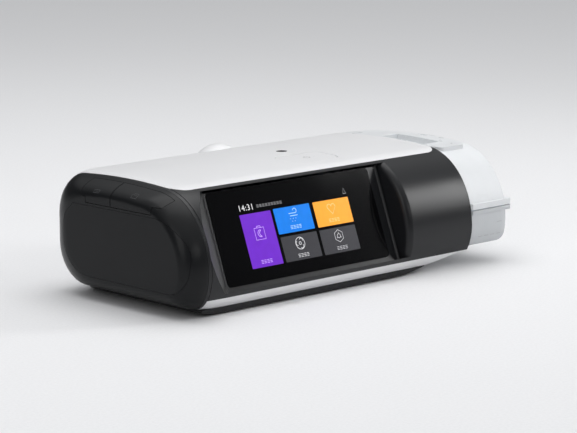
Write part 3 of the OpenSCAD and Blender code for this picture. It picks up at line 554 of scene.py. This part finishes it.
# Signs in millimetres about their own centre: all of them plain and general
ICONS = {
    "record": [
        [(-4.4, -4.0), (4.4, -4.0), (4.4, 4.2), (-4.4, 4.2), (-4.4, -4.0)],
        [(-1.8, 4.2), (-1.4, 5.4), (1.4, 5.4), (1.8, 4.2)],
        arc(0.6, 0.2, 2.4, 70, 290),
        arc(1.6, 0.2, 1.9, 100, 260),
    ],
    "air": [
        arc(1.9, 3.0, 1.6, -90, 170),
        [(1.9, 1.4), (-4.2, 1.4)],
        [(-3.4, -0.4), (3.8, -0.4)],
        [(-3.8, -2.4), (-3.2, -2.4)],
        [(-1.3, -2.4), (-0.7, -2.4)],
        [(1.2, -2.4), (1.8, -2.4)],
        [(-2.5, -4.2), (-1.9, -4.2)],
        [(0.0, -4.2), (0.6, -4.2)],
    ],
    "care": [
        arc(-1.9, 1.5, 1.9, 0, 205) + [(0.0, -3.8), (3.62, 0.7)] + arc(1.9, 1.5, 1.9, -25, 180)
    ],
    "mask": [
        ring(4.2),
        ring(1.0),
        arc(1.3, 2.0, 1.5, -20, 160),
        arc(-2.38, 0.13, 1.5, 100, 280),
        arc(1.08, -2.13, 1.5, 220, 400),
    ],
    "home": [
        hexagon(4.4),
        ring(1.5),
        [(0.0, 1.5), (0.0, 2.7)],
        [(-1.3, -0.75), (-2.3, -1.35)],
        [(1.3, -0.75), (2.3, -1.35)],
    ],
}

# Each tile's edges along and up the display face, its colours, its sign, and where sign and label stand
TILES = {
    "tile_records": {
        "x": (69.0, 97.8),
        "v": (15.9, 53.5),
        "colour": (0.150, 0.028, 0.520),
        "ink": (0.62, 0.38, 0.95),
        "icon": "record",
        "icon_at": (83.4, 38.8),
        "label_at": (83.4, 19.5),
    },
    "tile_therapy": {
        "x": (100.4, 134.8),
        "v": (35.8, 53.9),
        "colour": (0.010, 0.190, 0.720),
        "ink": (0.45, 0.72, 1.0),
        "icon": "air",
        "icon_at": (118.0, 47.6),
        "label_at": (117.8, 39.3),
    },
    "tile_care": {
        "x": (138.3, 173.1),
        "v": (35.7, 53.8),
        "colour": (0.930, 0.370, 0.040),
        "ink": (1.0, 0.62, 0.25),
        "icon": "care",
        "icon_at": (155.0, 47.4),
        "label_at": (155.0, 39.3),
    },
    "tile_mask": {
        "x": (100.7, 135.2),
        "v": (16.0, 33.7),
        "colour": (0.046, 0.046, 0.052),
        "ink": (0.62, 0.62, 0.64),
        "icon": "mask",
        "icon_at": (117.6, 27.5),
        "label_at": (118.3, 19.1),
    },
    "tile_home": {
        "x": (138.0, 173.0),
        "v": (15.9, 33.6),
        "colour": (0.046, 0.046, 0.052),
        "ink": (0.5, 0.5, 0.52),
        "icon": "home",
        "icon_at": (155.4, 27.6),
        "label_at": (156.0, 19.1),
    },
}
# How far the lit fields and the strokes on them stand out from the face, and how thick they are
PICTURE_OUT = GLASS_PROUD + 0.03
PICTURE_DEPTH = 0.03
INK_OUT = GLASS_PROUD + 0.06
INK_DEPTH = 0.02
TILE_CORNER = 0.5
# Width of the strokes, and size and spacing of the blocks under each sign
ICON_STROKE = 0.42
LABEL_STROKE = 0.34
LABEL_BLOCK = 2.1
LABEL_PITCH = 2.7


def label_blocks(count, centre_x, centre_v, finish, height=2.0):
    """A row of plain blocks, each of three short bars, centred on a place of the display face."""
    parts = []
    for i in range(count):
        x = (i - (count - 1) / 2) * LABEL_PITCH
        bars = [
            [(x - LABEL_BLOCK / 2, level), (x + LABEL_BLOCK / 2, level)]
            for level in (height / 2, 0.0, -height / 2)
        ]
        strokes = printed_strokes(bars, LABEL_STROKE, INK_DEPTH, finish)
        parts.append((strokes, face_matrix(centre_x, centre_v, INK_OUT), finish))
    return parts


for name, tile in TILES.items():
    tile_finish = lit(name + "_lit", tile["colour"], 1.0)
    ink_finish = lit(name + "_ink", tile["ink"], 1.0)
    plate = rounded_plate(*tile["x"], *tile["v"], TILE_CORNER, PICTURE_DEPTH)
    sign = printed_strokes(ICONS[tile["icon"]], ICON_STROKE, INK_DEPTH, ink_finish)
    parts = [
        (plate, face_matrix(0.0, 0.0, PICTURE_OUT), tile_finish),
        (sign, face_matrix(*tile["icon_at"], INK_OUT), ink_finish),
    ]
    parts += label_blocks(4, *tile["label_at"], ink_finish)
    add_piece(name, joined(name, parts), None, "case")


# Size of the built-in typeface over the height of its numbers
TYPE_SIZE = 1.38


def clock_digits(digits, x, v, height_mm, finish):
    """Plain numbers on the display."""
    curve = bpy.data.curves.new("clock_text", "FONT")
    curve.body = digits
    curve.size = height_mm * TYPE_SIZE
    curve.extrude = 0.01
    curve.space_character = 1.12
    curve.align_x = "LEFT"
    worker = bpy.data.objects.new("clock_worker", curve)
    bpy.context.scene.collection.objects.link(worker)
    return (as_mesh(worker), face_matrix(x, v, INK_OUT), finish)


CLOCK_INK = lit("clock_ink", (0.75, 0.75, 0.76), 1.0)
FAINT_INK = lit("faint_ink", (0.25, 0.25, 0.26), 1.0)
# A small triangle at the right end of the status line
STATUS_SIGN = [(0.0, -1.6), (-1.5, -1.6), (0.0, 2.2), (1.5, -1.6), (0.0, -1.6)]
sign_strokes = printed_strokes([STATUS_SIGN], 0.5, INK_DEPTH, FAINT_INK)
status_parts = [
    clock_digits("14:31", 69.2, 56.0, 4.3, CLOCK_INK),
    (sign_strokes, face_matrix(171.0, 58.0, INK_OUT), FAINT_INK),
]
status_parts += label_blocks(9, 98.2, 57.8, FAINT_INK, 1.5)
add_piece("status_line", joined("status_line", status_parts), None, "case")


# ---------------------------------------------------------------- marks laid on curved pieces


def fine_path(points, step_mm=0.6):
    """The same path with extra points, so that it can follow a curved surface."""
    result = [points[0]]
    for start, end in zip(points, points[1:]):
        count = max(1, math.ceil(math.dist(start, end) / step_mm))
        for i in range(1, count + 1):
            result.append(
                (start[0] + (end[0] - start[0]) * i / count, start[1] + (end[1] - start[1]) * i / count)
            )
    return result


# Marks are thrown on a surface from this far outside it, and stand out from it by this much
THROW_MM = 60.0
MARK_OUT_MM = 0.03


def laid_marks(name, paths, width_mm, ink, centre, right, up, node):
    """Strokes drawn about a centre, square to right and up, and laid on a CAD node's surface."""
    right, up = Vector(right), Vector(up)
    outward = right.cross(up)
    mesh = printed_strokes([fine_path(path) for path in paths], width_mm, INK_DEPTH, ink)
    turn = Matrix((right, up, outward)).transposed().to_4x4()
    mesh.transform(Matrix.Translation(place(*centre)) @ turn @ Matrix.Scale(MM, 4))
    bm = bmesh.new()
    bm.from_mesh(frame["nodes"][node].data)
    surface = BVHTree.FromBMesh(bm)
    bm.free()
    plane = place(*centre).dot(outward)
    for vertex in mesh.vertices:
        depth = vertex.co.dot(outward) - plane
        hit = surface.ray_cast(vertex.co + outward * THROW_MM * MM, -outward)[0]
        if hit is not None:
            vertex.co = hit + outward * (depth + MARK_OUT_MM * MM)
    mesh.materials.clear()
    add_piece(name, joined(name, [(mesh, Matrix.Identity(4), ink)]), None, BODY_OF[node])


def dashes(starts, length, v):
    """Level dashes of one length, from each start to the right."""
    return [[(x, v), (x + length, v)] for x in starts]


ALONG = (1.0, 0.0, 0.0)
BACK = (0.0, 1.0, 0.0)
UPWARD = (0.0, 0.0, 1.0)
# The marks on the doors are drawn on a plane that leans at 45 degrees
TO_FRONT = (0.0, -1.0, 0.0)
DOOR_SLOPE = (math.sqrt(0.5), 0.0, math.sqrt(0.5))

# Power sign on the start button, with a small dash beside it
laid_marks(
    "start_mark",
    paths=[arc(0.0, 0.0, 2.4, 125, 415), [(0.0, 0.4), (0.0, 3.0)], [(6.8, -0.3), (7.5, -0.3)]],
    width_mm=0.45,
    ink=MARK_GREY,
    centre=(BUTTON_X, BUTTON_Y, 86.0),
    right=ALONG,
    up=BACK,
    node="start_button",
)
# Fill line and floor marks on the tub's front wall
laid_marks(
    "tub_marks",
    paths=[[(5.2, 10.0), (10.6, 10.0)]] + dashes([-14.0, -7.4, -0.8, 5.8], 4.6, 0.9),
    width_mm=0.5,
    ink=MARK_GREY,
    centre=(298.0, -2.0, 20.3),
    right=ALONG,
    up=UPWARD,
    node="tank_tub",
)
# A card on one door and a socket on the other
CARD_OUTLINE = [(-2.6, -2.0), (2.6, -2.0), (2.6, 2.0), (-1.2, 2.0), (-2.6, 0.7), (-2.6, -2.0)]
SOCKET_OUTLINE = [(-2.8, -1.2), (2.8, -1.2), (2.8, 1.2), (-2.8, 1.2), (-2.8, -1.2)]
laid_marks(
    "card_mark",
    paths=[CARD_OUTLINE, [(-0.6, 1.2), (-0.6, 0.2)], [(0.8, 1.2), (0.8, 0.2)]],
    width_mm=0.35,
    ink=MARK_FAINT,
    centre=(1.5, 58.5, 80.5),
    right=TO_FRONT,
    up=DOOR_SLOPE,
    node="card_door",
)
laid_marks(
    "port_mark",
    paths=[SOCKET_OUTLINE, [(-1.6, 0.0), (1.6, 0.0)]],
    width_mm=0.35,
    ink=MARK_FAINT,
    centre=(-0.1, 96.0, 79.1),
    right=TO_FRONT,
    up=DOOR_SLOPE,
    node="port_door",
)


# ---------------------------------------------------------------- floor, lights and camera


# Half the floor's width, in metres
FLOOR_REACH = 30.0


def stage_floor():
    """A wide, flat, pale floor, which fills the picture's background from every side."""
    mesh = bpy.data.meshes.new("floor")
    corners = [(x * FLOOR_REACH, y * FLOOR_REACH, 0.0) for x, y in ((-1, -1), (1, -1), (1, 1), (-1, 1))]
    mesh.from_pydata(corners, [], [(0, 1, 2, 3)])
    floor = bpy.data.objects.new("floor", mesh)
    bpy.context.scene.collection.objects.link(floor)
    finish = Finish("floor_paper")
    fibre = finish.noise(2.0, 3.0)
    finish.link(
        finish.ramp(fibre, (0.76, 0.76, 0.77, 1.0), (0.8, 0.8, 0.81, 1.0)),
        finish.shader.inputs["Base Color"],
    )
    finish.set(Roughness=0.9)
    mesh.materials.append(finish.material)


def area_light(name, position, target, size, power, spread=180.0, fade=False):
    """A soft rectangular lamp. A small spread keeps it on the machine, and fade darkens its lower part."""
    data = bpy.data.lights.new(name, "AREA")
    data.shape = "RECTANGLE"
    data.size, data.size_y = size
    data.energy = power
    data.spread = math.radians(spread)
    if fade:
        data.use_nodes = True
        nodes = data.node_tree.nodes
        links = data.node_tree.links
        split = nodes.new("ShaderNodeSeparateXYZ")
        slope = nodes.new("ShaderNodeMapRange")
        links.new(nodes.new("ShaderNodeNewGeometry").outputs["Parametric"], split.inputs["Vector"])
        links.new(split.outputs["Y"], slope.inputs["Value"])
        links.new(slope.outputs["Result"], nodes["Emission"].inputs["Strength"])
    light = bpy.data.objects.new(name, data)
    light.location = position
    light.rotation_euler = (Vector(target) - Vector(position)).to_track_quat("-Z", "Y").to_euler()
    bpy.context.scene.collection.objects.link(light)


CASE_MIDDLE = (0.0, 0.0, 0.05)
stage_floor()
area_light("top_softbox", (0.1, 0.2, 1.5), target=(0.0, 0.0, 0.0), size=(1.6, 1.2), power=10.2)
area_light("left_softbox", (-1.6, -0.5, 0.7), target=CASE_MIDDLE, size=(0.9, 0.9), power=4.0)
area_light("front_softbox", (0.0, -1.9, 0.78), target=CASE_MIDDLE, size=(0.8, 0.35), power=2.6)
# This lamp lies right of all that the display glass mirrors, and draws the band on the round front
area_light(
    "right_softbox", (1.46, -0.966, 0.69), target=(0.1, 0.0, 0.05), size=(0.43, 0.82), power=1.75, spread=70.0
)
# This one shows mostly as the grey sheen on the glass's upper right
area_light(
    "glass_sheen", (1.15, -0.96, 0.67), target=(0.04, 0.0, 0.05), size=(0.23, 0.16), power=0.22, fade=True
)


def studio_world():
    """A soft surround that is darker near the horizon than overhead."""
    world = bpy.data.worlds.new("studio")
    world.use_nodes = True
    nodes = world.node_tree.nodes
    links = world.node_tree.links
    split = nodes.new("ShaderNodeSeparateXYZ")
    ramp = nodes.new("ShaderNodeValToRGB")
    ramp.color_ramp.elements[0].position = 0.36
    ramp.color_ramp.elements[0].color = (0.045, 0.046, 0.048, 1.0)
    ramp.color_ramp.elements[1].position = 0.85
    ramp.color_ramp.elements[1].color = (0.98, 0.99, 1.0, 1.0)
    links.new(nodes.new("ShaderNodeTexCoord").outputs["Generated"], split.inputs["Vector"])
    links.new(split.outputs["Z"], ramp.inputs["Fac"])
    links.new(ramp.outputs["Color"], nodes["Background"].inputs["Color"])
    nodes["Background"].inputs["Strength"].default_value = 1.0
    bpy.context.scene.world = world


studio_world()

# The camera stands front left and a little above the machine; sensor and lens are in millimetres
CAMERA_SENSOR = 36.0
CAMERA_LENS = 148.0
CAMERA_PLACE = (-1.1616, -1.2282, 0.3505)
CAMERA_LOOK = (0.68245, 0.70821, -0.18085)
camera_data = bpy.data.cameras.new("camera")
camera_data.sensor_width = CAMERA_SENSOR
camera_data.lens = CAMERA_LENS
camera = bpy.data.objects.new("camera", camera_data)
camera.location = CAMERA_PLACE
camera.rotation_euler = Vector(CAMERA_LOOK).to_track_quat("-Z", "Y").to_euler()
bpy.context.scene.collection.objects.link(camera)
bpy.context.scene.camera = camera
bpy.context.scene.view_settings.view_transform = "Standard"
